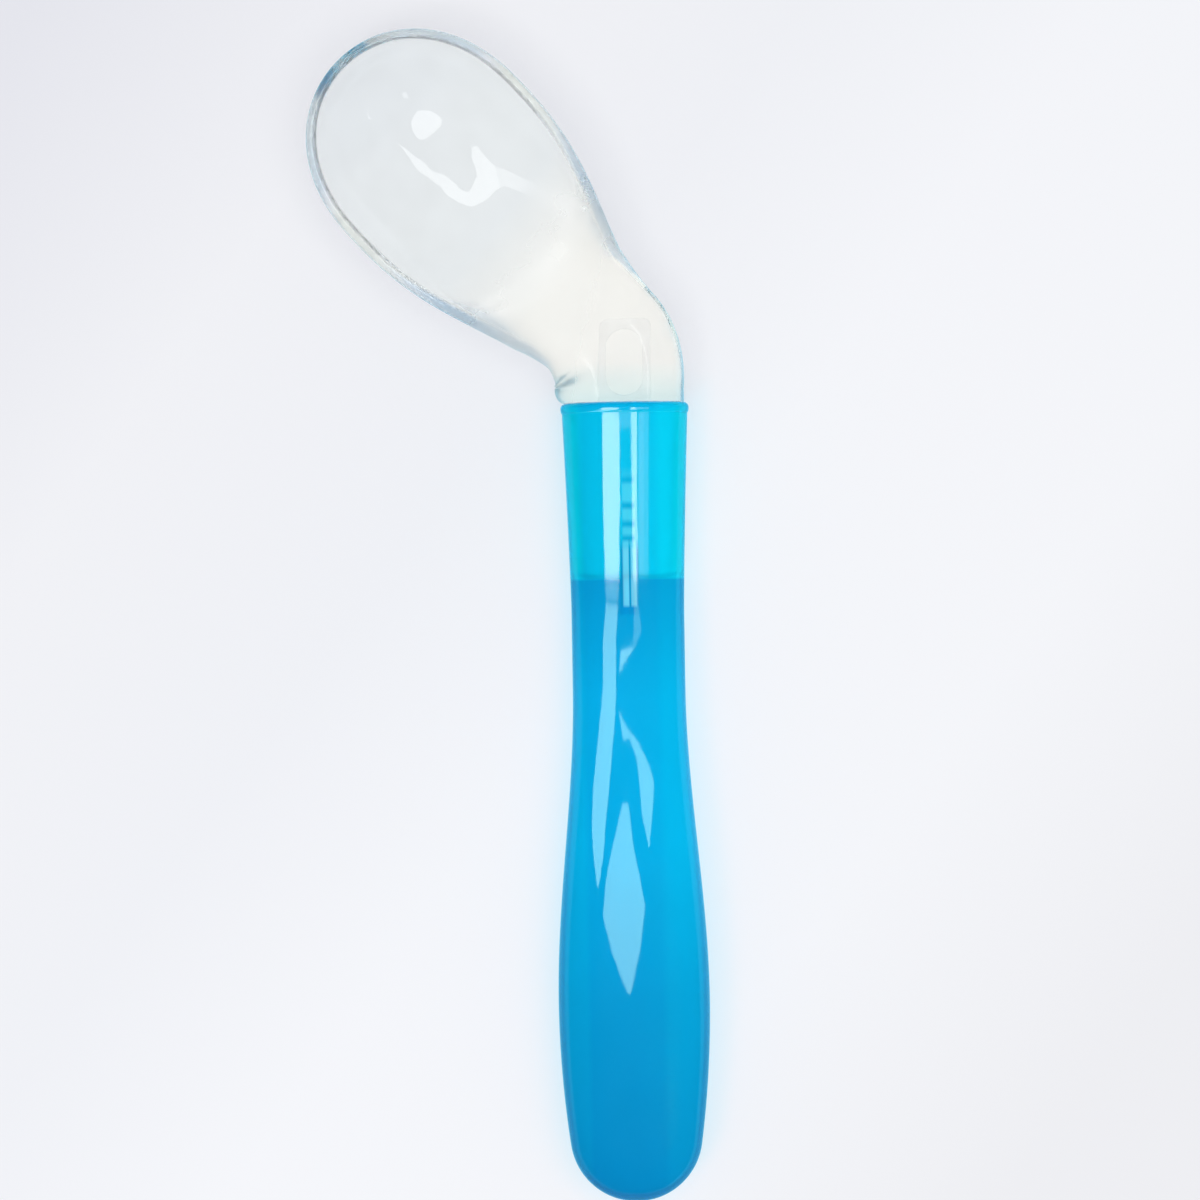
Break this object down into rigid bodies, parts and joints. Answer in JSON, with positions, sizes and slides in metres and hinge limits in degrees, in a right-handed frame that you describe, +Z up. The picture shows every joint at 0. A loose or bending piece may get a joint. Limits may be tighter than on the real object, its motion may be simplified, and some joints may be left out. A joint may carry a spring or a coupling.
{
  "type": "baby spoon",
  "caption": "Angled feeding spoon for a toddler: a clear soft bowl on a solid bent neck, moulded round a clear core and locked in the socket of a swelling translucent handle.",
  "frame": {"origin": "middle of the spoon's plan, on the surface that it lies on", "axes": "+Y runs from the end of the handle to the bowl, +Z is up out of the bowl, and the bowl is turned towards -X"},
  "size_m": [0.0485, 0.1464, 0.0112],
  "materials": {
    "clear_silicone": "clear, soft, glossy moulded silicone",
    "clear_core": "clear, stiff moulded plastic",
    "blue_plastic": "translucent blue, glossy moulded plastic"
  },
  "bodies": {
    "root": {"silicone_head": "clear_silicone", "core_insert": "clear_core", "handle": "blue_plastic"}
  },
  "joints": []
}
